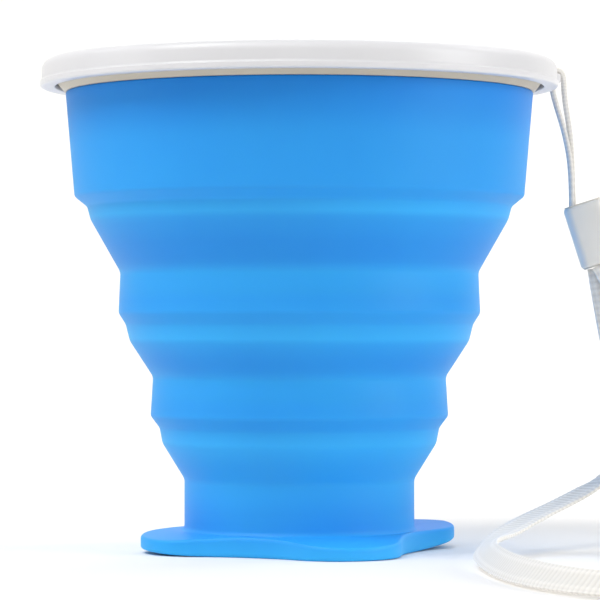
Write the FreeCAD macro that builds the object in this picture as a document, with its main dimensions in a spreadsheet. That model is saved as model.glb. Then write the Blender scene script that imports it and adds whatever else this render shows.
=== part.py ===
import FreeCAD, Part
import math
import os
import re
import Sketcher

# A collapsible travel cup, drawn out to its full height, with its lid on.
# Millimetres. +Z is up, the origin is the middle of the base's underside,
# and the wrist lanyard hangs from the lid on the +X side and lies forward, in -Y.
#
# The cup wall is one silicone moulding: stiff rings joined by thin sloping webs
# that roll inside out. Each ring and each web is a body of its own here,
# because a ring moves as one rigid piece and a web changes its shape.

SIZES = {
    # lid
    "overall_height": 82.4,
    "lid_radius": 43.4,
    "lid_plate": 1.6,
    "lid_skirt_wall": 1.9,
    "lid_skirt_height": 4.6,
    "lid_top_rounding": 1.8,
    "lid_lip_rounding": 0.45,
    "lid_bead": 0.35,
    "lid_bead_height": 0.8,
    "lid_seat_gap": 0.1,
    "recess_radius": 38.5,
    "recess_depth": 0.5,
    "plug_radius": 36.6,
    "plug_wall": 1.2,
    "plug_depth": 3.2,
    # ear on the lid's rim that the cord goes through
    "ear_angle": 15,
    "ear_root": 42.4,
    "ear_reach": 46.6,
    "ear_width": 6.4,
    "ear_thickness": 1.5,
    "ear_drop": 1.2,
    "ear_rounding": 2.4,
    "ear_hole_place": 45.0,
    "ear_hole_radius": 0.8,
    # hard ring in the mouth of the cup
    "mouth_ring_radius": 41.0,
    "mouth_ring_bore": 36.9,
    "mouth_ring_edge": 1.6,
    "mouth_ring_slope": 1.8,
    # silicone wall
    "wall": 2.2,
    "web": 1.1,
    "bevel": 1.2,
    "tongue_inset": 0.6,
    "tongue_height": 2.2,
    "band_top_radius": 39.4,
    "band_foot_radius": 37.9,
    "band_top_height": 77.0,
    "band_foot_height": 59.5,
    # the three webs: where each starts at its top, its short lip, and where it ends
    "upper_web_top_radius": 35.8,
    "upper_web_top_height": 57.8,
    "upper_web_lip_radius": 35.2,
    "upper_web_lip_height": 55.6,
    "upper_web_foot_radius": 30.2,
    "upper_web_foot_height": 46.8,
    "middle_web_top_radius": 29.3,
    "middle_web_top_height": 38.0,
    "middle_web_lip_radius": 28.6,
    "middle_web_lip_height": 35.2,
    "middle_web_foot_radius": 24.7,
    "middle_web_foot_height": 29.2,
    "lower_web_top_radius": 23.6,
    "lower_web_top_height": 20.6,
    "lower_web_lip_radius": 23.1,
    "lower_web_lip_height": 18.0,
    "lower_web_foot_radius": 19.4,
    "lower_web_foot_height": 12.0,
    # widest place of the two middle rings, near their feet
    "upper_ring_radius": 30.5,
    "upper_ring_waist_height": 39.9,
    "lower_ring_radius": 25.1,
    "lower_ring_waist_height": 22.6,
    # base
    "base_floor": 2.4,
    "flange_thickness": 2.1,
    "flange_root_height": 3.5,
    "flange_radius": 27.6,
    "flange_lobes": 4,
    "flange_first_lobe": 22,
    "flange_waist_radius": 20.6,
    "flange_scallop_radius": 30,
    "flange_corner_rounding": 9.5,
    "flange_edge_rounding": 0.6,
    # sleeve that joins the cord to the wrist strap
    "sleeve_width": 7.0,
    "sleeve_thickness": 3.4,
    "sleeve_length": 11.2,
    "sleeve_corner_rounding": 1.4,
    "sleeve_edge_rounding": 0.5,
    "sleeve_lean": 17.7,
    "sleeve_foot_x": 52.2,
    "sleeve_foot_y": 11.3,
    "sleeve_foot_z": 48.3,
    # cord and strap, drawn as round tubes
    "cord_diameter": 1.0,
    "strap_diameter": 2.65,
}

# Thin cord: up from the sleeve through the ear's hole, over its edge and back down.
CORD_ROUTE = [
    (46.5, 11.3, 58.2),
    (45.8, 11.5, 64.4),
    (44.5, 11.6, 70.9),
    (43.5, 11.65, 77.2),
    (43.5, 11.65, 81.9),
    (45.7, 12.25, 81.9),
    (45.7, 12.25, 77.2),
    (46.2, 11.9, 70.8),
    (47.1, 11.5, 64.6),
    (47.7, 11.3, 58.6),
]

# Wrist strap: down from the sleeve, round a loop that stands on the table, and back up.
STRAP_ROUTE = [
    (50.8, 11.3, 47.8),
    (53.2, 11.2, 40.2),
    (54.6, 10.1, 31.0),
    (55.0, 7.8, 21.5),
    (52.0, 4.0, 12.9),
    (45.2, -1.2, 7.2),
    (37.2, -9.6, 3.9),
    (30.9, -20.5, 2.6),
    (28.5, -34.5, 2.3),
    (28.3, -50.0, 2.2),
    (29.8, -66.0, 2.1),
    (33.2, -81.5, 2.1),
    (40.2, -94.8, 2.1),
    (52.0, -101.5, 2.1),
    (64.2, -98.0, 2.1),
    (71.8, -86.6, 2.1),
    (74.4, -71.8, 2.1),
    (73.7, -56.2, 2.2),
    (71.3, -41.0, 2.5),
    (68.6, -26.8, 4.8),
    (65.5, -13.6, 10.6),
    (62.2, -1.8, 19.6),
    (59.8, 6.2, 30.0),
    (57.2, 10.6, 40.0),
    (53.6, 11.3, 48.8),
]

doc = FreeCAD.newDocument("travel_cup")
sizes = doc.addObject("Spreadsheet::Sheet", "Sizes")
for row, (name, value) in enumerate(SIZES.items(), start=1):
    sizes.set("A%d" % row, name)
    sizes.set("B%d" % row, str(value))
    sizes.setAlias("B%d" % row, name)
doc.recompute()

parts = []


def bound(text):
    """The expression with every size named as a cell of the sheet."""
    return re.sub(r"[a-z][a-z_]*", lambda word: "Sizes." + word.group(0), text)


def value(text):
    """The number that an expression of sizes stands for."""
    result = sizes.evalExpression(bound(text))
    return float(getattr(result, "Value", result))


def new_body(label):
    body = doc.addObject("PartDesign::Body", label)
    body.Label = label
    parts.append(body)
    return body


def new_sketch(body, name, plane_role, height="", turn=""):
    """A sketch on one of the body's own planes, raised and turned by named sizes."""
    sketch = body.newObject("Sketcher::SketchObject", name)
    plane = [item for item in body.Origin.OriginFeatures if item.Role == plane_role][0]
    sketch.AttachmentSupport = (plane, "")
    sketch.MapMode = "FlatFace"
    if height:
        sketch.setExpression(".AttachmentOffset.Base.z", bound(height))
    if turn:
        sketch.setExpression(".AttachmentOffset.Rotation.Angle", bound(turn))
    return sketch


def add_bound_constraint(sketch, values, text):
    """A dimension whose value follows an expression of sizes."""
    index = sketch.addConstraint(Sketcher.Constraint(*values, value(text)))
    name = "size_%d" % index
    sketch.renameConstraint(index, name)
    sketch.setExpression("Constraints." + name, bound(text))


def draw_outline(sketch, outline):
    """A closed outline of straight lines through (radius, height) expressions."""
    points = [FreeCAD.Vector(value(radius), value(height), 0) for radius, height in outline]
    for index, point in enumerate(points):
        following = points[(index + 1) % len(points)]
        sketch.addGeometry(Part.LineSegment(point, following))
    for index, (radius, height) in enumerate(outline):
        following = (index + 1) % len(outline)
        sketch.addConstraint(Sketcher.Constraint("Coincident", index, 2, following, 1))
        if radius == "0":
            sketch.addConstraint(Sketcher.Constraint("PointOnObject", index, 1, -2))
        else:
            add_bound_constraint(sketch, ("DistanceX", -1, 1, index, 1), radius)
        if height == "0":
            sketch.addConstraint(Sketcher.Constraint("PointOnObject", index, 1, -1))
        else:
            add_bound_constraint(sketch, ("DistanceY", -1, 1, index, 1), height)


def draw_rectangle(sketch, left, right, width):
    """A rectangle from left to right along X and centred on the X axis."""
    low = FreeCAD.Vector(value(left), -value(width) / 2, 0)
    high = FreeCAD.Vector(value(right), value(width) / 2, 0)
    corners = [low, FreeCAD.Vector(high.x, low.y, 0), high, FreeCAD.Vector(low.x, high.y, 0)]
    for index, corner in enumerate(corners):
        sketch.addGeometry(Part.LineSegment(corner, corners[(index + 1) % 4]))
    for index in range(4):
        sketch.addConstraint(Sketcher.Constraint("Coincident", index, 2, (index + 1) % 4, 1))
    sketch.addConstraint(Sketcher.Constraint("Horizontal", 0))
    sketch.addConstraint(Sketcher.Constraint("Horizontal", 2))
    sketch.addConstraint(Sketcher.Constraint("Vertical", 3))
    sketch.addConstraint(Sketcher.Constraint("Symmetric", 1, 1, 1, 2, -1))
    add_bound_constraint(sketch, ("DistanceX", -1, 1, 0, 2), right)
    add_bound_constraint(sketch, ("DistanceX", 0, 1, 0, 2), right + " - (" + left + ")")
    add_bound_constraint(sketch, ("DistanceY", 1, 1, 1, 2), width)


def draw_circle(sketch, distance, radius):
    """A circle whose centre lies on the sketch's X axis."""
    centre = FreeCAD.Vector(value(distance), 0, 0)
    sketch.addGeometry(Part.Circle(centre, FreeCAD.Vector(0, 0, 1), value(radius)))
    sketch.addConstraint(Sketcher.Constraint("PointOnObject", 0, 3, -1))
    add_bound_constraint(sketch, ("DistanceX", -1, 1, 0, 3), distance)
    add_bound_constraint(sketch, ("Radius", 0), radius)


def lathe(body, outline):
    """Turn an outline once round the Z axis."""
    sketch = new_sketch(body, body.Label + "_profile", "XZ_Plane")
    draw_outline(sketch, outline)
    turned = body.newObject("PartDesign::Revolution", body.Label + "_turned")
    turned.Profile = sketch
    turned.ReferenceAxis = (sketch, ["V_Axis"])
    turned.Angle = 360
    sketch.Visibility = False
    doc.recompute()
    return turned


def pad(body, sketch, length):
    raised = body.newObject("PartDesign::Pad", sketch.Label + "_pad")
    raised.Profile = sketch
    raised.setExpression("Length", bound(length))
    doc.recompute()
    return raised


def cut_through(body, sketch):
    """Cut a sketch right through, downwards, and make sure that it removed something."""
    before = body.Shape.Volume
    pocket = body.newObject("PartDesign::Pocket", sketch.Label + "_cut")
    pocket.Profile = sketch
    pocket.Type = "ThroughAll"
    doc.recompute()
    if body.Shape.Volume > before - 0.01:
        raise ValueError(pocket.Label + " removed nothing")
    return pocket


def round_edges(body, feature, radius, wanted):
    """Fillet every edge of a feature for which wanted(edge) is true."""
    names = []
    for index, edge in enumerate(feature.Shape.Edges, start=1):
        if wanted(edge):
            names.append("Edge%d" % index)
    if not names:
        raise ValueError("no edge to round on " + body.Label)
    fillet = body.newObject("PartDesign::Fillet", "%s_round_%d" % (body.Label, len(body.Group)))
    fillet.Base = (feature, names)
    fillet.setExpression("Radius", bound(radius))
    doc.recompute()
    return fillet


def ring_edge_at(radius, height):
    """A test for a full circular edge of that radius and height about the Z axis."""
    def test(edge):
        box = edge.BoundBox
        flat = abs(box.ZMax - value(height)) < 0.01 and box.ZLength < 0.01
        return flat and abs(box.XMax - value(radius)) < 0.01 and abs(box.XMin + value(radius)) < 0.01
    return test


def upright_edge_outside(radius):
    """A test for an upright straight edge further out than that radius."""
    def test(edge):
        box = edge.BoundBox
        upright = box.XLength < 0.01 and box.YLength < 0.01 and box.ZLength > 0.5
        return upright and math.hypot(box.Center.x, box.Center.y) > value(radius)
    return test


# ---------------------------------------------------------------- silicone cup wall
def make_top_band():
    """The widest, tallest ring, with a tongue on top that the hard mouth ring grips."""
    lathe(new_body("top_band"), [
        ("upper_web_top_radius - web", "upper_web_top_height"),
        ("upper_web_top_radius", "upper_web_top_height"),
        ("band_foot_radius", "band_foot_height"),
        ("band_top_radius", "band_top_height"),
        ("band_top_radius - tongue_inset", "band_top_height"),
        ("band_top_radius - tongue_inset", "band_top_height + tongue_height"),
        ("band_top_radius - wall + tongue_inset", "band_top_height + tongue_height"),
        ("band_top_radius - wall + tongue_inset", "band_top_height"),
        ("band_top_radius - wall", "band_top_height"),
        ("band_foot_radius - wall", "band_foot_height + bevel"),
        ("upper_web_top_radius - web", "upper_web_top_height + bevel"),
    ])


def make_web(label, web):
    """A thin sloping web under a short lip: it rolls inside out when the cup is pressed flat."""
    lathe(new_body(label), [
        (web + "_foot_radius - web", web + "_foot_height"),
        (web + "_foot_radius", web + "_foot_height"),
        (web + "_lip_radius", web + "_lip_height"),
        (web + "_top_radius", web + "_top_height"),
        (web + "_top_radius - web", web + "_top_height"),
        (web + "_lip_radius - web", web + "_lip_height"),
    ])


def make_ring(label, ring, web_above, web_below):
    """A stiff ring between two webs, widest just above its bevelled foot."""
    lathe(new_body(label), [
        (web_below + "_top_radius - web", web_below + "_top_height"),
        (web_below + "_top_radius", web_below + "_top_height"),
        (ring + "_radius", ring + "_waist_height"),
        (web_above + "_foot_radius", web_above + "_foot_height"),
        (web_above + "_foot_radius - web", web_above + "_foot_height"),
        (web_above + "_foot_radius - wall", web_above + "_foot_height - bevel"),
        (ring + "_radius - wall", ring + "_waist_height"),
    ])


def make_base_cup():
    """The bottom stage of the cup, on a flange with rounded lobes that thins towards its edge."""
    body = new_body("base_cup")
    turned = lathe(body, [
        ("0", "0"),
        ("flange_radius", "0"),
        ("flange_radius", "flange_thickness"),
        ("lower_web_foot_radius", "flange_root_height"),
        ("lower_web_foot_radius", "lower_web_foot_height"),
        ("lower_web_foot_radius - web", "lower_web_foot_height"),
        ("lower_web_foot_radius - wall", "lower_web_foot_height - bevel"),
        ("lower_web_foot_radius - wall", "base_floor"),
        ("0", "base_floor"),
    ])
    half_step = " + 180 / flange_lobes"
    scallop = new_sketch(body, "scallop", "XY_Plane", "flange_root_height",
                         "flange_first_lobe" + half_step)
    draw_circle(scallop, "flange_waist_radius + flange_scallop_radius", "flange_scallop_radius")
    doc.recompute()
    pocket = cut_through(body, scallop)
    pattern = body.newObject("PartDesign::PolarPattern", "scallops")
    pattern.Originals = [pocket]
    pattern.Axis = (turned.Profile[0], ["V_Axis"])
    pattern.Angle = 360
    pattern.setExpression("Occurrences", bound("flange_lobes"))
    body.Tip = pattern
    doc.recompute()
    corners = round_edges(body, pattern, "flange_corner_rounding",
                          upright_edge_outside("flange_waist_radius"))

    def flange_rim(edge):
        middle = edge.valueAt((edge.FirstParameter + edge.LastParameter) / 2)
        raised = min(vertex.Point.z for vertex in edge.Vertexes) > value("flange_thickness") - 0.01
        low = middle.z < value("flange_root_height") - 0.01
        return raised and low and math.hypot(middle.x, middle.y) > value("flange_waist_radius") - 0.1
    round_edges(body, corners, "flange_edge_rounding", flange_rim)


# ---------------------------------------------------------------- hard plastic pieces
def make_mouth_ring():
    """The hard ring that keeps the mouth round, with a groove for the band's tongue."""
    ring_top = "overall_height - lid_plate - lid_seat_gap"
    body = new_body("mouth_ring")
    turned = lathe(body, [
        ("mouth_ring_bore", "band_top_height"),
        ("band_top_radius - wall + tongue_inset", "band_top_height"),
        ("band_top_radius - wall + tongue_inset", "band_top_height + tongue_height"),
        ("band_top_radius - tongue_inset", "band_top_height + tongue_height"),
        ("band_top_radius - tongue_inset", "band_top_height"),
        ("band_top_radius", "band_top_height"),
        ("mouth_ring_radius", "band_top_height + mouth_ring_slope"),
        ("mouth_ring_radius", ring_top + " - mouth_ring_edge"),
        ("mouth_ring_radius - 0.6", ring_top),
        ("mouth_ring_bore", ring_top),
    ])
    round_edges(body, turned, "lid_lip_rounding", ring_edge_at("mouth_ring_bore", ring_top))


def make_lid():
    """The press-on lid: plate, outer skirt with its bead, inner plug ring and the cord's ear."""
    plate_under = "overall_height - lid_plate"
    skirt_foot = "overall_height - lid_skirt_height"
    skirt_bore = "lid_radius - lid_skirt_wall"
    plug_foot = plate_under + " - plug_depth"
    body = new_body("lid")
    turned = lathe(body, [
        ("0", "overall_height - recess_depth"),
        ("recess_radius", "overall_height - recess_depth"),
        ("recess_radius + recess_depth", "overall_height"),
        ("lid_radius", "overall_height"),
        ("lid_radius", skirt_foot),
        (skirt_bore + " - lid_bead", skirt_foot),
        (skirt_bore + " - lid_bead", skirt_foot + " + lid_bead_height"),
        (skirt_bore, skirt_foot + " + lid_bead_height + lid_bead"),
        (skirt_bore, plate_under),
        ("plug_radius", plate_under),
        ("plug_radius", plug_foot),
        ("plug_radius - plug_wall", plug_foot),
        ("plug_radius - plug_wall", plate_under),
        ("0", plate_under),
    ])
    brow = round_edges(body, turned, "lid_top_rounding", ring_edge_at("lid_radius", "overall_height"))
    lip = round_edges(body, brow, "lid_lip_rounding", ring_edge_at("lid_radius", skirt_foot))
    round_edges(body, lip, "lid_lip_rounding", ring_edge_at("plug_radius", plug_foot))

    ear_top = "overall_height - ear_drop"
    ear = new_sketch(body, "ear", "XY_Plane", ear_top + " - ear_thickness", "ear_angle")
    draw_rectangle(ear, "ear_root", "ear_reach", "ear_width")
    ear_pad = pad(body, ear, "ear_thickness")
    round_edges(body, ear_pad, "ear_rounding", upright_edge_outside("lid_radius + 1"))
    hole = new_sketch(body, "ear_hole", "XY_Plane", ear_top, "ear_angle")
    draw_circle(hole, "ear_hole_place", "ear_hole_radius")
    doc.recompute()
    cut_through(body, hole)


def make_sleeve():
    """The moulded sleeve that holds the cord's two ends and the strap's two ends."""
    body = new_body("lanyard_sleeve")
    section = new_sketch(body, "sleeve_section", "XY_Plane")
    draw_rectangle(section, "0 - sleeve_width / 2", "sleeve_width / 2", "sleeve_thickness")
    block = pad(body, section, "sleeve_length")
    corners = round_edges(body, block, "sleeve_corner_rounding", upright_edge_outside("0 + 1"))

    def end_edge(edge):
        return edge.BoundBox.ZLength < 0.01
    round_edges(body, corners, "sleeve_edge_rounding", end_edge)
    foot = FreeCAD.Vector(value("sleeve_foot_x"), value("sleeve_foot_y"), value("sleeve_foot_z"))
    lean = FreeCAD.Rotation(FreeCAD.Vector(0, 1, 0), -value("sleeve_lean"))
    body.Placement = FreeCAD.Placement(foot, lean)
    for axis in "xyz":
        body.setExpression(".Placement.Base." + axis, bound("sleeve_foot_" + axis))


# ---------------------------------------------------------------- cord and strap
def rounded_path(route):
    """Straight runs joined by tangent arcs, each as large as its two runs allow."""
    points = [FreeCAD.Vector(*point) for point in route]
    edges = []
    radii = []
    start = points[0]
    for before, corner, after in zip(points, points[1:], points[2:]):
        back = (before - corner).normalize()
        ahead = (after - corner).normalize()
        half_turn = (math.pi - back.getAngle(ahead)) / 2
        setback = 0.45 * min((before - corner).Length, (after - corner).Length)
        radius = setback / math.tan(half_turn)
        first = corner + back * setback
        last = corner + ahead * setback
        inward = (back + ahead).normalize()
        centre = corner + inward * (radius / math.cos(half_turn))
        middle = centre - inward * radius
        edges.append(Part.LineSegment(start, first).toShape())
        edges.append(Part.Arc(first, middle, last).toShape())
        radii.append(radius)
        start = last
    edges.append(Part.LineSegment(start, points[-1]).toShape())
    return Part.Wire(edges), radii


def make_tube(label, route, diameter):
    """A plain round tube along a rounded path."""
    path, radii = rounded_path(route)
    start = path.Vertexes[0].Point
    direction = FreeCAD.Vector(*route[1]) - FreeCAD.Vector(*route[0])
    circle = Part.Circle(start, direction, value(diameter) / 2)
    tube = path.makePipeShell([Part.Wire([circle.toShape()])], True, False)
    feature = doc.addObject("Part::Feature", label)
    feature.Label = label
    feature.Shape = tube
    parts.append(feature)
    expected = math.pi * value(diameter) ** 2 / 4 * path.Length
    print("%s: length %.1f, volume %.1f of %.1f expected, smallest radius %.2f"
          % (label, path.Length, tube.Volume, expected, min(radii)))
    print("  radii", " ".join("%.1f" % radius for radius in radii))


make_base_cup()
make_web("lower_fold", "lower_web")
make_ring("lower_ring", "lower_ring", "middle_web", "lower_web")
make_web("middle_fold", "middle_web")
make_ring("upper_ring", "upper_ring", "upper_web", "middle_web")
make_web("upper_fold", "upper_web")
make_top_band()
make_mouth_ring()
make_lid()
make_sleeve()
make_tube("lanyard_cord", CORD_ROUTE, "cord_diameter")
make_tube("wrist_strap", STRAP_ROUTE, "strap_diameter")
doc.recompute()

for item in doc.Objects:
    if "Invalid" in item.State or "Error" in item.State:
        raise ValueError("%s did not build: %s" % (item.Label, item.State))
for part in parts:
    if part.Shape.isNull() or not part.Shape.isValid() or not part.Shape.Solids:
        raise ValueError(part.Label + " has no valid solid")

os.makedirs("parts", exist_ok=True)
for part in parts:
    part.Shape.exportStep("parts/%s.step" % part.Label)
    box = part.Shape.BoundBox
    print("%-16s %9.1f mm3   x %.2f..%.2f  y %.2f..%.2f  z %.2f..%.2f" % (
        part.Label, part.Shape.Volume, box.XMin, box.XMax, box.YMin, box.YMax, box.ZMin, box.ZMax))
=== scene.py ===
import math

import bmesh
import bpy
from mathutils import Matrix, Vector


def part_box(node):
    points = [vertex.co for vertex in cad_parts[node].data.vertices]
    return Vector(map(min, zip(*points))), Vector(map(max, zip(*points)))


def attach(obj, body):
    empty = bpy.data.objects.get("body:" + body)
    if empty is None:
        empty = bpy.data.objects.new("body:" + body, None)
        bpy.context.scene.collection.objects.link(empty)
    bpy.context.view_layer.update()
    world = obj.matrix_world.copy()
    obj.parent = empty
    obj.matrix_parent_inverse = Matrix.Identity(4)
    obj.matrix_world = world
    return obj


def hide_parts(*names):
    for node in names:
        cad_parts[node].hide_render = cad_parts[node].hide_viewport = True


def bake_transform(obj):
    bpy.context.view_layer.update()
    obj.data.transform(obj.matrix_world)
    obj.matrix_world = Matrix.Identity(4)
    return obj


# A collapsible travel cup, drawn out to its full height, with its lid on and its wrist
# lanyard beside it. Outlines are in millimetres from the middle of the base's underside.
MM = 0.001

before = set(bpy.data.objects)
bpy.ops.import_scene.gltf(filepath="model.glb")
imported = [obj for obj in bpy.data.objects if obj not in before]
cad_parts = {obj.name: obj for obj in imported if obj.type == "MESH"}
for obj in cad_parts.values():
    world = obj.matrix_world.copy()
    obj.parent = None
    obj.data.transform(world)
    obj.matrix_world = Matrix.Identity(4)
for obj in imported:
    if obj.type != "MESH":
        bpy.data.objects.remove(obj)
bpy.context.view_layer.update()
collection = bpy.context.scene.collection


# ---------------------------------------------------------------- viewpoint
# The eye is half a metre in front of the cup and level with the middle of its height,
# so the lid's skirt is seen from a little below and the flange from a little above.
lens = bpy.data.cameras.new("studio_camera")
lens.sensor_width = 36
lens.lens = 179.4
camera = bpy.data.objects.new("studio_camera", lens)
camera.location = (0, -505 * MM, 38.6 * MM)
aim = Vector((0.1 * MM, 0, 42.1 * MM))
camera.rotation_euler = (aim - camera.location).to_track_quat("-Z", "Y").to_euler()
collection.objects.link(camera)
bpy.context.scene.camera = camera


# ---------------------------------------------------------------- table and light
# A white sheet that lies on the table and curves up behind the cup, so that the
# background has no horizon. Soft boxes stand over it and on both sides.
def linear(hex_colour, alpha=1.0):
    """An sRGB hex colour as linear red, green and blue."""
    parts = [int(hex_colour[start:start + 2], 16) / 255 for start in (0, 2, 4)]
    lit = [part / 12.92 if part <= 0.04045 else ((part + 0.055) / 1.055) ** 2.4 for part in parts]
    return (*lit, alpha)


def add_node(tree, kind, settings=None, links=None):
    """Add a node, give its sockets or options their values, and link its inputs."""
    node = tree.nodes.new(kind)
    for name, value in (settings or {}).items():
        if name in node.inputs:
            node.inputs[name].default_value = value
        else:
            setattr(node, name, value)
    for name, source in (links or {}).items():
        tree.links.new(source, node.inputs[name])
    return node


def new_material(name, settings):
    """A material with its principled shader, whose uniform values are set on its own sockets."""
    material = bpy.data.materials.new(name)
    material.use_nodes = True
    shader = material.node_tree.nodes["Principled BSDF"]
    for socket, value in settings.items():
        shader.inputs[socket].default_value = value
    return material, material.node_tree, shader


def make_piece(name, shape, material, crisp_above=38):
    """Close the shape's seams, shade it smooth between crisp edges, and stand it in the scene."""
    bmesh.ops.remove_doubles(shape, verts=shape.verts, dist=0.002 * MM)
    bmesh.ops.recalc_face_normals(shape, faces=shape.faces)
    mesh = bpy.data.meshes.new(name)
    shape.to_mesh(mesh)
    shape.free()
    mesh.shade_smooth()
    mesh.set_sharp_from_angle(angle=math.radians(crisp_above))
    mesh.materials.append(material)
    piece = bpy.data.objects.new(name, mesh)
    collection.objects.link(piece)
    return piece


paper, paper_nodes, paper_shader = new_material("white_paper_sweep", {
    # Uncoated paper: matt, so the cup leaves a soft shadow on it and no reflection.
    "Base Color": linear("F3F1EE"), "Roughness": 0.9, "Specular IOR Level": 0.2})

# The sheet in metres: its width, its front edge, where it turns up, and how high it goes.
sweep_width = 8
sweep_front = -3
sweep_back = 1.3
sweep_height = 2.6
sweep_curve = 0.6

sweep = bmesh.new()
sweep_line = [sweep.verts.new((-sweep_width / 2, depth, height)) for depth, height in (
    (sweep_front, 0), (sweep_back, 0), (sweep_back, sweep_height))]
sweep.edges.new(sweep_line[:2])
sweep.edges.new(sweep_line[1:])
bmesh.ops.bevel(sweep, geom=[sweep_line[1]], offset=sweep_curve, offset_type="OFFSET",
                affect="VERTICES", segments=16, profile=0.5, material=-1)
pulled = bmesh.ops.extrude_edge_only(sweep, edges=sweep.edges[:])
far_edge = [item for item in pulled["geom"] if isinstance(item, bmesh.types.BMVert)]
bmesh.ops.translate(sweep, verts=far_edge, vec=(sweep_width, 0, 0))
table_top = make_piece("table_top", sweep, paper)


def soft_box(name, place, facing, size, watts):
    """A square studio light at one place that faces another."""
    light = bpy.data.lights.new(name, "AREA")
    light.shape = "SQUARE"
    light.size = size
    light.energy = watts
    lamp = bpy.data.objects.new(name, light)
    lamp.location = place
    lamp.rotation_euler = (Vector(facing) - lamp.location).to_track_quat("-Z", "Y").to_euler()
    collection.objects.link(lamp)


# The strong box at the right is low, so that the rings shade each other. The two that face
# the sheet behind the cup keep it white from edge to edge.
cup_middle = (0, 0, 0.04)
soft_box("box_front", (-0.2, -0.75, 1.0), cup_middle, 0.6, 3.5)
soft_box("box_left_high", (-0.5, -0.28, 0.8), cup_middle, 0.4, 4.4)
soft_box("box_left_low", (-1.1, -0.1, 0.3), cup_middle, 0.5, 0.8)
soft_box("box_right", (1.03, -0.36, 0.42), cup_middle, 0.5, 5.4)
soft_box("box_behind", (0, 0.8, 0.9), cup_middle, 0.6, 2.5)
soft_box("box_paper_left", (-0.9, 0.45, 1.0), (-0.3, 1.3, 0.35), 0.5, 3.5)
soft_box("box_paper_right", (0.9, 0.45, 1.0), (0.3, 1.3, 0.35), 0.5, 6.5)

world = bpy.data.worlds.new("studio_white")
world.use_nodes = True
world.node_tree.nodes["Background"].inputs["Color"].default_value = (1, 1, 1, 1)
world.node_tree.nodes["Background"].inputs["Strength"].default_value = 0.3
bpy.context.scene.world = world
bpy.context.scene.view_settings.view_transform = "Standard"


# ---------------------------------------------------------------- silicone wall
# One compression moulding in food-grade silicone: stiff rings joined by thin sloping
# webs that roll inside out when the cup is pressed flat. Each part here holds one web
# and the halves of its two rings, and the parts meet inside the rings' straight walls.
silicone, silicone_nodes, silicone_shader = new_material("silicone_moulded", {
    # Satin and slightly milky: light goes a fraction of a millimetre into it. Its base colour
    # holds painted shading: painted light on the lips, ring tops and flange, painted shade on the webs
    # and at the mouth under the lid.
    "IOR": 1.41, "Specular IOR Level": 0.3, "Subsurface Weight": 0.15,
    "Subsurface Radius": (0.2, 0.5, 1.0), "Subsurface Scale": 0.9 * MM})
# The pigment isn't stirred in quite evenly: its clouds are about 22 mm across.
on_piece = add_node(silicone_nodes, "ShaderNodeTexCoord")
pigment_clouds = add_node(silicone_nodes, "ShaderNodeTexNoise", {
    "Scale": 1 / (22 * MM), "Detail": 3.0}, {"Vector": on_piece.outputs["Object"]})
# The base colour mixes a deeper and a lighter blue by the pigment's real clouds and by painted shading
# stored on the wall by height: painted light on lips, ring tops and flange, painted shade on webs and
# under the lid.
painted_shading_attribute = add_node(silicone_nodes, "ShaderNodeAttribute", {"attribute_name": "painted_shading"})
clouds_and_painted_shading = add_node(silicone_nodes, "ShaderNodeMath", {"operation": "MULTIPLY_ADD"})
silicone_nodes.links.new(pigment_clouds.outputs["Fac"], clouds_and_painted_shading.inputs[0])
clouds_and_painted_shading.inputs[1].default_value = 0.25
silicone_nodes.links.new(painted_shading_attribute.outputs["Fac"], clouds_and_painted_shading.inputs[2])
pigment_and_painted_shade = add_node(silicone_nodes, "ShaderNodeMixRGB", {
    "Color1": linear("1A80DE"), "Color2": linear("36B0F6")}, {"Fac": clouds_and_painted_shading.outputs["Value"]})
silicone_nodes.links.new(pigment_and_painted_shade.outputs["Color"], silicone_shader.inputs["Base Color"])
# The mould is lightly blasted: grain of about 0.1 mm, drawn at 0.4 mm so that it shows.
mould_grain = add_node(silicone_nodes, "ShaderNodeTexNoise", {
    "Scale": 1 / (0.4 * MM), "Detail": 2.0}, {"Vector": on_piece.outputs["Object"]})
grain_bump = add_node(silicone_nodes, "ShaderNodeBump", {
    "Strength": 0.25, "Distance": 0.02 * MM}, {"Height": mould_grain.outputs["Fac"]})
silicone_nodes.links.new(grain_bump.outputs["Normal"], silicone_shader.inputs["Normal"])
silicone_gloss = add_node(silicone_nodes, "ShaderNodeMapRange", {
    "To Min": 0.44, "To Max": 0.56}, {"Value": pigment_clouds.outputs["Fac"]})
silicone_nodes.links.new(silicone_gloss.outputs["Result"], silicone_shader.inputs["Roughness"])

WALL = 2.2
WEB = 1.1
BEVEL = 1.2
BAND_TAPER = 1.5
BAND_SHOULDER = 1.7
TONGUE_INSET = 0.6


def heights(node):
    """The lowest and highest level of a part of the cup."""
    low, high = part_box(node)
    return low.z / MM, high.z / MM


def reach(node):
    """The largest radius of a turned part of the cup."""
    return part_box(node)[1].x / MM


def lathe(outline, longest=1.0, turns=160):
    """Turn an outline of (radius, height, rounding) corners once about the cup's axis.
    The rounding is how far before and after the corner the curve begins."""
    shape = bmesh.new()
    corners = [shape.verts.new((radius * MM, 0, height * MM)) for radius, height, rounding in outline]
    for corner, following in zip(corners, corners[1:]):
        shape.edges.new((corner, following))
    if outline[0][0] > 0:
        shape.edges.new((corners[-1], corners[0]))
    for corner, (radius, height, rounding) in zip(corners, outline):
        if rounding:
            bmesh.ops.bevel(shape, geom=[corner], offset=rounding * MM, offset_type="OFFSET",
                            affect="VERTICES", segments=5, profile=0.5, material=-1)
    for edge in shape.edges[:]:
        rows = math.ceil(edge.calc_length() / (longest * MM))
        if rows > 1:
            bmesh.ops.subdivide_edges(shape, edges=[edge], cuts=rows - 1)
    bmesh.ops.spin(shape, geom=shape.verts[:] + shape.edges[:], cent=(0, 0, 0), axis=(0, 0, 1),
                   angle=math.tau, steps=turns, use_merge=True)
    return shape


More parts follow.
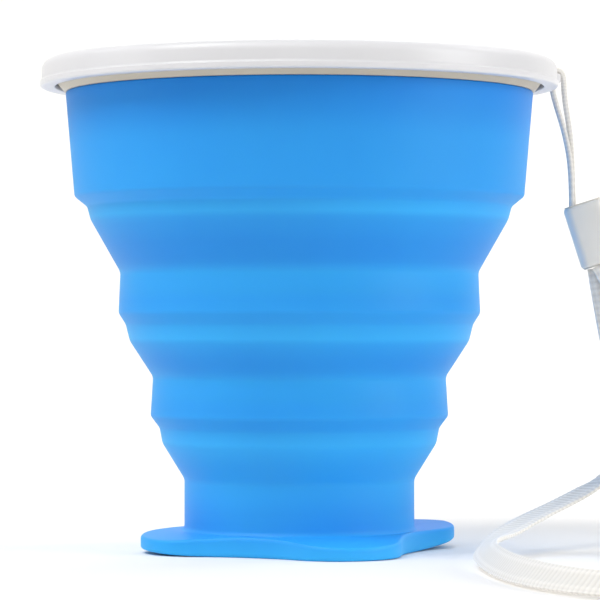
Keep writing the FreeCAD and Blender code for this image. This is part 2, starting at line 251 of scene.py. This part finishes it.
def level_on(upper, lower, height):
    """The radius at a height on the straight wall between two (radius, height) places."""
    share = (upper[1] - height) / (upper[1] - lower[1])
    return upper[0] + share * (lower[0] - upper[0])


upper_web_foot, upper_web_top = heights("upper_fold")
middle_web_foot, middle_web_top = heights("middle_fold")
lower_web_foot, lower_web_top = heights("lower_fold")
band_top = heights("mouth_ring")[0]
tongue_top = heights("top_band")[1]

# Where the two middle rings are widest, just above their bevelled feet, and where they
# meet the web above them.
upper_ring_waist = (reach("upper_ring"), middle_web_top + 1.9)
upper_ring_neck = (30.2, upper_web_foot)
lower_ring_waist = (reach("lower_ring"), lower_web_top + 2.0)
lower_ring_neck = (24.7, middle_web_foot)
base_neck = (19.4, lower_web_foot)


def inner(place, drop=0):
    """The place on the inside of a stiff ring's wall."""
    return place[0] - WALL, place[1] - drop


def ring_cut(neck, waist):
    """Outside and inside corners where a ring is cut level, half way up its straight wall."""
    height = (neck[1] + waist[1]) / 2
    outside = level_on(neck, waist, height)
    inside = level_on(inner(neck, BEVEL), inner(waist), height)
    return (outside, height, 0), (inside, height, 0)


def web_outside(top, lip, neck):
    """The outside of a web: under the ring's edge, over the short lip and down the slope."""
    return [(top[0], top[1], 0.3), (lip[0], lip[1], 0.5), (neck[0], neck[1], 0.5)]


def web_inside(top, lip, neck):
    """The inside of the same web, from its foot up to the ring above."""
    return [(neck[0] - WALL, neck[1] - BEVEL, 0.5), (neck[0] - WEB, neck[1], 0.5),
            (lip[0] - WEB, lip[1], 0.8), (top[0] - WEB, top[1], 0.4)]


upper_web = ((reach("upper_fold"), upper_web_top), (35.2, upper_web_top - 2.2), upper_ring_neck)
middle_web = ((reach("middle_fold"), middle_web_top), (28.6, middle_web_top - 2.8), lower_ring_neck)
lower_web = ((reach("lower_fold"), lower_web_top), (23.1, lower_web_top - 2.6), base_neck)

band = reach("top_band")
band_foot = upper_web_top + BAND_SHOULDER
upper_cut = ring_cut(upper_ring_neck, upper_ring_waist)
lower_cut = ring_cut(lower_ring_neck, lower_ring_waist)

upper_wall = make_piece("upper_wall", lathe([
    (band - TONGUE_INSET, tongue_top, 0.2),
    (band - TONGUE_INSET, band_top, 0),
    (band, band_top, 0.3),
    (band - BAND_TAPER, band_foot, 0.35),
    *web_outside(*upper_web),
    *upper_cut,
    *web_inside(*upper_web),
    (upper_web[0][0] - WEB, upper_web_top + BEVEL, 0.4),
    (band - BAND_TAPER - WALL, band_foot + BEVEL, 0.8),
    (band - WALL, band_top, 0.2),
    (band - WALL + TONGUE_INSET, band_top, 0),
    (band - WALL + TONGUE_INSET, tongue_top, 0.2),
]), silicone)

middle_wall = make_piece("middle_wall", lathe([
    upper_cut[0],
    (*upper_ring_waist, 0.4),
    *web_outside(*middle_web),
    *lower_cut,
    *web_inside(*middle_web),
    (*inner(upper_ring_waist), 0.7),
    upper_cut[1],
]), silicone)

# The bottom stage stands on a flange that thins outwards to four rounded lobes, with
# hollows between them. It is soft, and the lobes at the back curl up a little.
FLANGE = 27.6
FLANGE_EDGE = 2.1
FLANGE_ROOT = 3.5
LOBES = 4
FIRST_LOBE = math.radians(22)
HOLLOW_RADIUS = 30
HOLLOW_WAIST = 20.6
LOBE_CORNER = 9.5
LOBE_CURL = 1.25
BACK_CURL = 0.4
FOOT_RECESS = 16.4
FOOT_RECESS_DEPTH = 0.4
CUP_FLOOR = 2.4

lower_shape = lathe([
    (0, FOOT_RECESS_DEPTH, 0),
    (FOOT_RECESS - FOOT_RECESS_DEPTH, FOOT_RECESS_DEPTH, 0.2),
    (FOOT_RECESS, 0, 0.2),
    (FLANGE, 0, 0.4),
    (FLANGE, FLANGE_EDGE, 0.5),
    (base_neck[0], FLANGE_ROOT, 0.8),
    *reversed(web_outside(*lower_web)),
    (*lower_ring_waist, 0.4),
    *lower_cut,
    (*inner(lower_ring_waist), 0.7),
    *reversed(web_inside(*lower_web)),
    (base_neck[0] - WALL, CUP_FLOOR, 1.4),
    (0, CUP_FLOOR, 0),
], turns=200)


def flange_reach(turn):
    """How far the flange reaches at an angle: hollow, rounded corner, then the lobe's tip."""
    step = math.tau / LOBES
    from_hollow = abs((turn - FIRST_LOBE) % step - step / 2)
    hollow_centre = HOLLOW_WAIST + HOLLOW_RADIUS
    corner_centre = FLANGE - LOBE_CORNER
    corner_turn = math.acos(
        (hollow_centre ** 2 + corner_centre ** 2 - (HOLLOW_RADIUS + LOBE_CORNER) ** 2)
        / (2 * hollow_centre * corner_centre))
    corner_across = corner_centre * math.sin(corner_turn)
    corner_along = corner_centre * math.cos(corner_turn)
    share = LOBE_CORNER / (HOLLOW_RADIUS + LOBE_CORNER)
    hollow_end = math.atan2(corner_across * (1 - share),
                            corner_along + (hollow_centre - corner_along) * share)
    if from_hollow < hollow_end:
        across = hollow_centre * math.sin(from_hollow)
        return hollow_centre * math.cos(from_hollow) - math.sqrt(HOLLOW_RADIUS ** 2 - across ** 2)
    if from_hollow < corner_turn:
        across = corner_centre * math.sin(corner_turn - from_hollow)
        along = corner_centre * math.cos(corner_turn - from_hollow)
        return along + math.sqrt(LOBE_CORNER ** 2 - across ** 2)
    return FLANGE


def flange_level(radius):
    """The height of the flange's top, which slopes down from the stage's foot to its edge."""
    return FLANGE_ROOT + (FLANGE_EDGE - FLANGE_ROOT) * (radius - base_neck[0]) / (FLANGE - base_neck[0])


# The turned flange is a round plate. Outside the foot of the stage it is drawn in to the
# lobes' outline, with its slope and its rounded edge kept, and then it is curled up.
stage_foot = base_neck[0] + 0.4
plate_top = FLANGE_ROOT + 0.2
plate_edge = FLANGE - 0.7
for vert in lower_shape.verts:
    radius = math.hypot(vert.co.x, vert.co.y) / MM
    turn = math.atan2(vert.co.y, vert.co.x)
    if radius > stage_foot and vert.co.z < plate_top * MM:
        slack = FLANGE - flange_reach(turn)
        share = min(1, (radius - stage_foot) / (plate_edge - stage_foot))
        drawn_in = (radius - slack * share) / radius
        vert.co.x *= drawn_in
        vert.co.y *= drawn_in
        vert.co.z *= flange_level(radius * drawn_in) / flange_level(radius)
        out = (radius * drawn_in - stage_foot) / (FLANGE - stage_foot)
        backwards = 1 + min(BACK_CURL, math.sin(turn))
        vert.co.z += LOBE_CURL * backwards ** 1.5 * max(0, out) ** 0.8 * MM

lower_wall = make_piece("lower_wall", lower_shape, silicone)

# Painted shading on the wall from its foot up to its mouth: painted light most on the flange,
# the lips and the rings' tops, painted shade most half way up each web and under the lid.
painted_shading_levels = [(0, 1.0), (FLANGE_ROOT + 0.5, 0.35)]
for web, waist, web_shade_level in ((lower_web, lower_ring_waist, 0.55), (middle_web, upper_ring_waist, 0.25),
                         (upper_web, (band, band_foot), 0.15)):
    web_top, web_lip, web_neck = web
    painted_shading_levels += [
        (web_neck[1] - 5, 0.35), (web_neck[1] - 0.5, 0.6), (web_neck[1] + 1.5, web_shade_level),
        ((web_neck[1] + web_lip[1]) / 2, web_shade_level), (web_lip[1] - 0.6, web_shade_level + 0.2), (web_lip[1] + 0.5, 0.8),
        (web_top[1] - 0.4, 0.6), (web_top[1] + 0.4, 0.4), (waist[1] + 0.5, 0.4)]
painted_shading_levels += [((band_foot + band_top) / 2, 0.35), (band_top - 5, 0.15), (band_top, 0), (tongue_top, 0)]


def painted_shading(height):
    """How light the painted shading is at a height, between the two nearest levels."""
    for (low, tone), (high, next_tone) in zip(painted_shading_levels, painted_shading_levels[1:]):
        if height <= high:
            return tone + (next_tone - tone) * max(0, height - low) / (high - low)
    return painted_shading_levels[-1][1]


# Each wall part keeps its painted shading on its vertices, by height.
for piece in (upper_wall, middle_wall, lower_wall):
    painted_shading_layer = piece.data.attributes.new("painted_shading", "FLOAT", "POINT")
    for vert in piece.data.vertices:
        painted_shading_layer.data[vert.index].value = painted_shading(vert.co.z / MM)

for piece, bodies, web in ((upper_wall, ("rim", "upper_stage"), upper_web),
                           (middle_wall, ("upper_stage", "lower_stage"), middle_web),
                           (lower_wall, ("lower_stage", "base"), lower_web)):
    web_top, web_lip, web_neck = web
    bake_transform(piece)
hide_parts("top_band", "upper_fold", "upper_ring")
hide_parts("upper_ring", "middle_fold", "lower_ring")
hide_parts("lower_ring", "lower_fold", "base_cup")


# ---------------------------------------------------------------- mouth ring
# A hard ring of natural polypropylene, pressed over the band's tongue to keep the mouth
# round. Left uncoloured, so it is a warm grey ivory, and it shows as a cone under the lid.
natural_plastic, natural_nodes, natural_shader = new_material("polypropylene_natural", {
    # Moulded against a blasted tool: satin, with broad dull highlights and a waxy depth.
    "Roughness": 0.42, "IOR": 1.49, "Subsurface Weight": 0.1,
    "Subsurface Radius": (1.0, 0.8, 0.6), "Subsurface Scale": 1.0 * MM})
on_piece = add_node(natural_nodes, "ShaderNodeTexCoord")
flow_clouds = add_node(natural_nodes, "ShaderNodeTexNoise", {
    "Scale": 1 / (9 * MM), "Detail": 2.0}, {"Vector": on_piece.outputs["Object"]})
ivory = add_node(natural_nodes, "ShaderNodeMixRGB", {
    "Color1": linear("BAB2A2"), "Color2": linear("C4BDAE")}, {"Fac": flow_clouds.outputs["Fac"]})
natural_nodes.links.new(ivory.outputs["Color"], natural_shader.inputs["Base Color"])
# The tool's grain is under 0.1 mm, drawn at 0.35 mm so that it shows.
satin_grain = add_node(natural_nodes, "ShaderNodeTexNoise", {
    "Scale": 1 / (0.35 * MM), "Detail": 1.0}, {"Vector": on_piece.outputs["Object"]})
satin_bump = add_node(natural_nodes, "ShaderNodeBump", {
    "Strength": 0.2, "Distance": 0.01 * MM}, {"Height": satin_grain.outputs["Fac"]})
natural_nodes.links.new(satin_bump.outputs["Normal"], natural_shader.inputs["Normal"])

ring_radius = reach("mouth_ring")
ring_foot, ring_top = heights("mouth_ring")
ring_bore = 36.9
ring_slope = 1.8
mouth_ring = make_piece("mouth_ring_turned", lathe([
    (ring_bore, ring_foot, 0.3),
    (band - WALL + TONGUE_INSET, ring_foot, 0),
    (band - WALL + TONGUE_INSET, tongue_top, 0),
    (band - TONGUE_INSET, tongue_top, 0),
    (band - TONGUE_INSET, ring_foot, 0),
    (band + 0.1, ring_foot, 0.2),
    (ring_radius, ring_foot + ring_slope, 0.2),
    (ring_radius, ring_top - 1.0, 0.4),
    (ring_radius - 0.6, ring_top, 0.3),
    (ring_bore, ring_top, 0.45),
], longest=2.5), natural_plastic)
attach(mouth_ring, "rim")
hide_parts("mouth_ring")


# ---------------------------------------------------------------- lid
# Injection-moulded in milky white polypropylene: a plate with a shallow recess, a skirt
# that grips the mouth ring, a plug ring inside, and an ear for the lanyard's cord.
milky_plastic, milky_nodes, milky_shader = new_material("polypropylene_milky", {
    # Light enters a few millimetres, so the skirt's thin lip looks brighter than its face.
    "Roughness": 0.36, "IOR": 1.49, "Subsurface Weight": 0.35,
    "Subsurface Radius": (1.0, 1.0, 1.0), "Subsurface Scale": 1.5 * MM})
on_piece = add_node(milky_nodes, "ShaderNodeTexCoord")
flow_clouds = add_node(milky_nodes, "ShaderNodeTexNoise", {
    "Scale": 1 / (14 * MM), "Detail": 3.0}, {"Vector": on_piece.outputs["Object"]})
tone = add_node(milky_nodes, "ShaderNodeMixRGB", {
    "Color1": linear("D6D6D9"), "Color2": linear("DCDCDE")}, {"Fac": flow_clouds.outputs["Fac"]})
milky_nodes.links.new(tone.outputs["Color"], milky_shader.inputs["Base Color"])
# The same fine grain as the mouth ring's, and drawn as coarse.
satin_grain = add_node(milky_nodes, "ShaderNodeTexNoise", {
    "Scale": 1 / (0.35 * MM), "Detail": 1.0}, {"Vector": on_piece.outputs["Object"]})
satin_bump = add_node(milky_nodes, "ShaderNodeBump", {
    "Strength": 0.2, "Distance": 0.01 * MM}, {"Height": satin_grain.outputs["Fac"]})
milky_nodes.links.new(satin_bump.outputs["Normal"], milky_shader.inputs["Normal"])

lid_foot_inside, lid_top = heights("lid")
lid_radius = 43.4
plate_under = lid_top - 1.6
skirt_foot = lid_top - 4.6
skirt_bore = lid_radius - 1.9
lip_reach = 0.25
lip_height = 0.9
bead = 0.35
bead_height = 0.8
plug_radius = 36.6
plug_wall = 1.2
recess_radius = 38.5
recess_depth = 0.5

lid_shape = lathe([
    (0, lid_top - recess_depth, 0),
    (recess_radius, lid_top - recess_depth, 0.3),
    (recess_radius + recess_depth, lid_top, 0.3),
    (lid_radius, lid_top, 1.8),
    (lid_radius, skirt_foot + lip_height + 0.2, 0.3),
    (lid_radius + lip_reach, skirt_foot + lip_height, 0.2),
    (lid_radius + lip_reach, skirt_foot, 0.4),
    (skirt_bore - bead, skirt_foot, 0.2),
    (skirt_bore - bead, skirt_foot + bead_height, 0.2),
    (skirt_bore, skirt_foot + bead_height + bead, 0.2),
    (skirt_bore, plate_under, 0.4),
    (plug_radius, plate_under, 0.3),
    (plug_radius, lid_foot_inside, 0.45),
    (plug_radius - plug_wall, lid_foot_inside, 0.3),
    (plug_radius - plug_wall, plate_under, 0.6),
    (0, plate_under, 0),
], longest=3.0, turns=200)
lid = make_piece("lid_moulding", lid_shape, milky_plastic)
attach(lid, "lid")
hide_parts("lid")

# The ear is one moulding with the lid: a tab with a round end and a hole, cut off inside
# the skirt's wall. The hole is given by its place along the tab and its radius.
ear_turn = math.radians(15)
ear_root = 42.6
ear_width = 6.4
ear_reach = 46.6
ear_top = lid_top - 1.2
ear_thickness = 1.5
ear_hole_place = 45.0
ear_hole_radius = 0.8

ear_shape = bmesh.new()
tab_edge = bmesh.ops.create_circle(ear_shape, radius=ear_width / 2 * MM, segments=48)["verts"]
bmesh.ops.translate(ear_shape, verts=tab_edge, vec=((ear_reach - ear_width / 2) * MM, 0, 0))
hole_edge = bmesh.ops.create_circle(ear_shape, radius=ear_hole_radius * MM, segments=48)["verts"]
bmesh.ops.translate(ear_shape, verts=hole_edge, vec=(ear_hole_place * MM, 0, 0))
bmesh.ops.bridge_loops(ear_shape, edges=ear_shape.edges[:])
bmesh.ops.translate(ear_shape, verts=ear_shape.verts, vec=(0, 0, (ear_top - ear_thickness) * MM))
risen = bmesh.ops.extrude_face_region(ear_shape, geom=ear_shape.faces[:], use_keep_orig=True)
risen_verts = [item for item in risen["geom"] if isinstance(item, bmesh.types.BMVert)]
bmesh.ops.translate(ear_shape, verts=risen_verts, vec=(0, 0, ear_thickness * MM))
bmesh.ops.recalc_face_normals(ear_shape, faces=ear_shape.faces)
bmesh.ops.bisect_plane(ear_shape, geom=ear_shape.verts[:] + ear_shape.edges[:] + ear_shape.faces[:],
                       plane_co=(ear_root * MM, 0, 0), plane_no=(1, 0, 0), clear_inner=True)
bmesh.ops.holes_fill(ear_shape, edges=[edge for edge in ear_shape.edges if edge.is_boundary])
sharp = [edge for edge in ear_shape.edges
         if edge.calc_face_angle(0) > math.radians(60) and edge.verts[0].co.x > (ear_root + 0.1) * MM]
bmesh.ops.bevel(ear_shape, geom=sharp, offset=0.3 * MM, offset_type="OFFSET",
                affect="EDGES", segments=3, profile=0.5, material=-1)
bmesh.ops.rotate(ear_shape, verts=ear_shape.verts, cent=(0, 0, 0),
                 matrix=Matrix.Rotation(ear_turn, 3, "Z"))
ear = make_piece("lid_ear", ear_shape, milky_plastic)
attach(ear, "lid")
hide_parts("lid")


# ---------------------------------------------------------------- thin cord
# A braided nylon cord, one millimetre thick. It comes up out of the sleeve, goes through
# the ear's hole, over the ear's edge and back down into the sleeve.
nylon, nylon_nodes, nylon_shader = new_material("nylon_braid", {
    # Dull thread with a faint sheen at its edges, and a fine slanting pattern of strands.
    "Roughness": 0.6, "IOR": 1.53, "Sheen Weight": 0.25, "Sheen Roughness": 0.4})
along_cord = add_node(nylon_nodes, "ShaderNodeUVMap", {"uv_map": "UVMap"})
strand_places = add_node(nylon_nodes, "ShaderNodeMapping", {}, {"Vector": along_cord.outputs["UV"]})
strands = add_node(nylon_nodes, "ShaderNodeTexChecker", {
    "Color1": linear("E6E3DD"), "Color2": linear("DBD8D3"), "Scale": 1.0},
    {"Vector": strand_places.outputs["Vector"]})
nylon_nodes.links.new(strands.outputs["Color"], nylon_shader.inputs["Base Color"])
strand_bump = add_node(nylon_nodes, "ShaderNodeBump", {
    "Strength": 0.3, "Distance": 0.05 * MM}, {"Height": strands.outputs["Fac"]})
nylon_nodes.links.new(strand_bump.outputs["Normal"], nylon_shader.inputs["Normal"])


def smooth_route(name, places, steps):
    """A smooth curve led by a few places in millimetres, with nothing around it yet."""
    curve = bpy.data.curves.new(name, "CURVE")
    curve.dimensions = "3D"
    curve.resolution_u = steps
    spline = curve.splines.new("NURBS")
    spline.points.add(len(places) - 1)
    for knot, place in zip(spline.points, places):
        knot.co = (*(Vector(place) * MM), 1)
    spline.order_u = 3
    spline.use_endpoint_u = True
    spline.resolution_u = steps
    return curve


def places_along(curve):
    """The places that a smooth route passes through, in order."""
    holder = bpy.data.objects.new("route", curve)
    collection.objects.link(holder)
    holder_now = holder.evaluated_get(bpy.context.evaluated_depsgraph_get())
    line = bpy.data.meshes.new_from_object(holder_now)
    places = [vert.co.copy() for vert in line.vertices]
    bpy.data.objects.remove(holder)
    bpy.data.meshes.remove(line)
    return places


def sweep_section(name, places, section, across_at, material):
    """A closed section carried along a line. across_at gives the section's own width direction."""
    shape = bmesh.new()
    uv_layer = shape.loops.layers.uv.new("UVMap")
    painted_groove_shade_layer = shape.verts.layers.float.new("painted_groove_shade")
    rows = len(places)
    columns = len(section) + 1
    bmesh.ops.create_grid(shape, x_segments=rows - 1, y_segments=columns - 1, size=1, calc_uvs=True)
    travelled = [0.0]
    for place, following in zip(places, places[1:]):
        travelled.append(travelled[-1] + (following - place).length)
    frames = []
    for index, place in enumerate(places):
        ahead = (places[min(index + 1, rows - 1)] - places[max(index - 1, 0)]).normalized()
        across = across_at(travelled[index] / travelled[-1])
        across = (across - ahead * across.dot(ahead)).normalized()
        frames.append((place, across, ahead.cross(across), travelled[index]))
    for vert in shape.verts:
        row = round((vert.co.x + 1) / 2 * (rows - 1))
        column = round((vert.co.y + 1) / 2 * (columns - 1))
        place, across, outward, distance = frames[row]
        # Each section point's third value is the tape's painted groove shade, kept on its vertex.
        wide, thick, painted_groove_shade = section[column % len(section)](distance)
        vert.co = place + across * wide + outward * thick
        vert[painted_groove_shade_layer] = painted_groove_shade
    for face in shape.faces:
        for loop in face.loops:
            loop[uv_layer].uv.x *= travelled[-1] / MM
    bmesh.ops.remove_doubles(shape, verts=shape.verts, dist=0.002 * MM)
    bmesh.ops.holes_fill(shape, edges=[edge for edge in shape.edges if edge.is_boundary])
    return make_piece(name, shape, material)


# The cord's two ends lie one behind the other in the sleeve, and part on their way up.
cord_thickness = 1.0
cord_route = [
    (47.0, 10.7, 58.2), (47.0, 10.8, 64.4), (45.9, 11.2, 71.0), (43.8, 11.6, 77.6),
    (43.3, 11.65, 81.9), (45.7, 12.25, 81.9), (45.8, 12.25, 77.4), (46.9, 12.1, 70.8),
    (47.2, 12.0, 64.6), (47.3, 11.9, 58.6),
]
cord_curve = smooth_route("cord_line", cord_route, 14)
cord_curve.bevel_depth = cord_thickness / 2 * MM
cord_curve.bevel_resolution = 5
cord_curve.use_fill_caps = True
cord_curve.materials.append(nylon)
thin_cord = bpy.data.objects.new("thin_cord", cord_curve)
collection.objects.link(thin_cord)
# The strands cross about every 0.5 mm: 96 times along the cord and 8 times round it.
strand_places.inputs["Scale"].default_value = (96, 8, 1)
strand_places.inputs["Rotation"].default_value = (0, 0, math.radians(45))

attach(thin_cord, "lid")
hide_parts("lanyard_cord")


# ---------------------------------------------------------------- sleeve
# A moulded sleeve in white plastic, crimped over the cord's two ends and the strap's two
# ends. Both ends are hollowed, and a fine parting line runs round its narrow sides.
gloss_plastic, gloss_nodes, gloss_shader = new_material("polypropylene_gloss", {
    # Smoother than the lid and a little warmer, with the same waxy depth.
    "IOR": 1.49, "Subsurface Weight": 0.3,
    "Subsurface Radius": (1.0, 1.0, 1.0), "Subsurface Scale": 1.2 * MM})
on_piece = add_node(gloss_nodes, "ShaderNodeTexCoord")
flow_clouds = add_node(gloss_nodes, "ShaderNodeTexNoise", {
    "Scale": 1 / (4 * MM), "Detail": 2.0}, {"Vector": on_piece.outputs["Object"]})
gloss_white = add_node(gloss_nodes, "ShaderNodeMixRGB", {
    "Color1": linear("E6E2D9"), "Color2": linear("EDE9E1")}, {"Fac": flow_clouds.outputs["Fac"]})
gloss_nodes.links.new(gloss_white.outputs["Color"], gloss_shader.inputs["Base Color"])
gloss_wear = add_node(gloss_nodes, "ShaderNodeMapRange", {
    "To Min": 0.34, "To Max": 0.46}, {"Value": flow_clouds.outputs["Fac"]})
gloss_nodes.links.new(gloss_wear.outputs["Result"], gloss_shader.inputs["Roughness"])

SLEEVE = (7.0, 3.4, 11.2)
SLEEVE_CORNER = 1.5
END_WALL = 0.9
END_HOLLOW = 0.6
END_ROUNDING = 0.8
PARTING_GROOVE = 0.12
sleeve_foot = Vector((52.2, 11.3, 48.3)) * MM
sleeve_lean = Matrix.Rotation(math.radians(-17.7), 3, "Y")

sleeve_shape = bmesh.new()
bmesh.ops.create_cube(sleeve_shape, size=1)
bmesh.ops.scale(sleeve_shape, verts=sleeve_shape.verts, vec=Vector(SLEEVE) * MM)
upright = [edge for edge in sleeve_shape.edges
           if abs(edge.verts[0].co.z - edge.verts[1].co.z) > 1 * MM]
bmesh.ops.bevel(sleeve_shape, geom=upright, offset=SLEEVE_CORNER * MM, offset_type="OFFSET",
                affect="EDGES", segments=6, profile=0.5, material=-1)
ends = [face for face in sleeve_shape.faces if abs(face.normal.z) > 0.99]
bmesh.ops.inset_region(sleeve_shape, faces=ends, thickness=END_WALL * MM, use_even_offset=True)
bmesh.ops.inset_region(sleeve_shape, faces=ends, thickness=0.1 * MM, depth=-END_HOLLOW * MM,
                       use_even_offset=True)
end_rims = [edge for edge in sleeve_shape.edges
            if all(abs(abs(vert.co.z) - SLEEVE[2] / 2 * MM) < 1e-6 for vert in edge.verts)
            and edge.calc_face_angle(0) > math.radians(60)]
bmesh.ops.bevel(sleeve_shape, geom=end_rims, offset=END_ROUNDING * MM, offset_type="OFFSET",
                affect="EDGES", segments=4, profile=0.5, material=-1)
for offset in (-PARTING_GROOVE, 0, PARTING_GROOVE):
    bmesh.ops.bisect_plane(
        sleeve_shape, geom=sleeve_shape.verts[:] + sleeve_shape.edges[:] + sleeve_shape.faces[:],
        plane_co=(0, offset * MM, 0), plane_no=(0, 1, 0))
for vert in sleeve_shape.verts:
    if abs(vert.co.y) < 0.01 * MM and abs(vert.co.x) > (SLEEVE[0] / 2 - 0.1) * MM:
        vert.co.x -= math.copysign(PARTING_GROOVE * MM, vert.co.x)
bmesh.ops.translate(sleeve_shape, verts=sleeve_shape.verts, vec=(0, 0, SLEEVE[2] / 2 * MM))
bmesh.ops.rotate(sleeve_shape, verts=sleeve_shape.verts, cent=(0, 0, 0), matrix=sleeve_lean)
bmesh.ops.translate(sleeve_shape, verts=sleeve_shape.verts, vec=sleeve_foot)
sleeve = make_piece("cord_sleeve", sleeve_shape, gloss_plastic)
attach(sleeve, "lid")
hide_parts("lanyard_sleeve")


# ---------------------------------------------------------------- wrist strap
# A loop of white woven polyester tape, about 4.5 mm wide. It hangs from the sleeve, turns
# on the table and comes back up. Ribs run across it and cords of warp run along it.
tape, tape_nodes, tape_shader = new_material("polyester_tape_woven", {
    # Matt white cloth with soft edges, and painted shade in the hollows between its ribs and cords.
    "Roughness": 0.75, "IOR": 1.53, "Sheen Weight": 0.3, "Sheen Roughness": 0.5})
on_tape = add_node(tape_nodes, "ShaderNodeUVMap", {"uv_map": "UVMap"})
thread_places = add_node(tape_nodes, "ShaderNodeMapping", {}, {"Vector": on_tape.outputs["UV"]})
threads = add_node(tape_nodes, "ShaderNodeTexNoise", {"Scale": 1.0, "Detail": 2.0},
                   {"Vector": thread_places.outputs["Vector"]})
thread_white = add_node(tape_nodes, "ShaderNodeMixRGB", {
    "Color1": linear("EFEBE4"), "Color2": linear("F9F6F0")}, {"Fac": threads.outputs["Fac"]})
painted_groove_shade_attribute = add_node(tape_nodes, "ShaderNodeAttribute", {"attribute_name": "painted_groove_shade"})
# The grey C2BEB7 is painted shade, laid where the ribs and warp cords dip in.
white_with_painted_groove_shade = add_node(tape_nodes, "ShaderNodeMixRGB", {"Color2": linear("C2BEB7")}, {
    "Fac": painted_groove_shade_attribute.outputs["Fac"], "Color1": thread_white.outputs["Color"]})
tape_nodes.links.new(white_with_painted_groove_shade.outputs["Color"], tape_shader.inputs["Base Color"])
thread_bump = add_node(tape_nodes, "ShaderNodeBump", {
    "Strength": 0.5, "Distance": 0.06 * MM}, {"Height": threads.outputs["Fac"]})
tape_nodes.links.new(thread_bump.outputs["Normal"], tape_shader.inputs["Normal"])
THREAD_SPACING = 0.2
TAPE_WIDTH = 4.5
TAPE_THICKNESS = 0.9
TAPE_ROUND = 10.4
RIB_SPACING = 1.15
RIB_RELIEF = 0.2
RIB_SHADE = 0.3
WARP_CORDS = 5
GROOVE_RELIEF = 0.2
GROOVE_SHADE = 0.2
# Threads are as far apart along the tape as around it, and its UV map is in millimetres
# along and in whole turns around.
thread_places.inputs["Scale"].default_value = (1 / THREAD_SPACING, TAPE_ROUND / THREAD_SPACING, 1)


def tape_corner(turn):
    """One point of the tape's section, pushed in and out by the ribs as the tape goes along."""
    side = math.cos(turn)
    face = math.sin(turn)
    wide = math.copysign(abs(side) ** 0.35, side) * TAPE_WIDTH / 2
    half_thick = math.copysign(abs(face) ** 0.5, face) * TAPE_THICKNESS / 2
    groove = 0.5 + 0.5 * math.cos(math.tau * WARP_CORDS * (wide / TAPE_WIDTH))

    def at(distance):
        rib = 0.5 + 0.5 * math.cos(math.tau * distance / (RIB_SPACING * MM))
        relief = 1 - RIB_RELIEF * rib - GROOVE_RELIEF * groove
        # The shade is painted shade, deepest where the ribs and warp cords dip in.
        shade = RIB_SHADE * rib ** 2 + GROOVE_SHADE * groove ** 2
        return wide * MM, half_thick * relief * MM, shade
    return at


tape_section = [tape_corner(math.tau * (index + 0.5) / 40) for index in range(40)]

strap_route = [
    (52.0, 11.9, 47.8), (53.2, 11.8, 40.2), (54.6, 10.6, 31.0), (55.0, 7.8, 21.5),
    (52.2, 4.5, 11.8), (45.8, -1.0, 8.6), (38.2, -9.8, 5.9), (31.8, -21.0, 3.4),
    (29.0, -34.5, 2.6), (29.0, -48.0, 2.6), (30.6, -62.0, 2.2), (34.2, -76.5, 2.1),
    (41.4, -90.0, 2.1), (52.6, -98.6, 2.1), (64.6, -97.0, 2.1), (72.0, -86.6, 2.1),
    (74.4, -71.8, 2.1), (73.7, -56.2, 2.2), (71.3, -41.0, 2.5), (68.6, -26.8, 4.8),
    (65.5, -13.6, 10.6), (62.2, -1.8, 19.6), (59.8, 6.2, 30.0), (57.2, 9.6, 40.0),
    (52.4, 10.7, 48.6),
]
strap_places = places_along(smooth_route("strap_line", strap_route, 64))

in_sleeve = sleeve_lean @ Vector((1, 0, 0))

# Which way the tape's width points, at shares of its length: across the sleeve, lying
# flat as it comes down, rolling outwards in the bend, leaning in, and up again.
tape_turns = [
    (0.0, in_sleeve), (0.10, Vector((0.5, 0.85, 0.1))), (0.155, Vector((-0.72, 0.66, 0.03))),
    (0.21, Vector((-0.7, 0.64, 0.1))), (0.275, Vector((-0.8, 0.05, -0.5))),
    (0.34, Vector((-0.6, -0.1, -0.75))), (0.41, Vector((-0.3, -0.75, -0.6))),
    (0.56, Vector((0.1, -0.8, -0.55))), (0.72, Vector((-0.5, 0.0, -0.86))),
    (0.86, Vector((-0.95, -0.25, 0.0))), (1.0, -in_sleeve),
]


def tape_across(share):
    """The tape's width direction between the two nearest turns."""
    for (start, turn), (end, next_turn) in zip(tape_turns, tape_turns[1:]):
        if share <= end:
            settled = (share - start) / (end - start)
            return turn.lerp(next_turn, settled * settled * (3 - 2 * settled))
    return -in_sleeve


wrist_strap = sweep_section("wrist_strap_tape", strap_places, tape_section, tape_across, tape)
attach(wrist_strap, "lid")
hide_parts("wrist_strap")
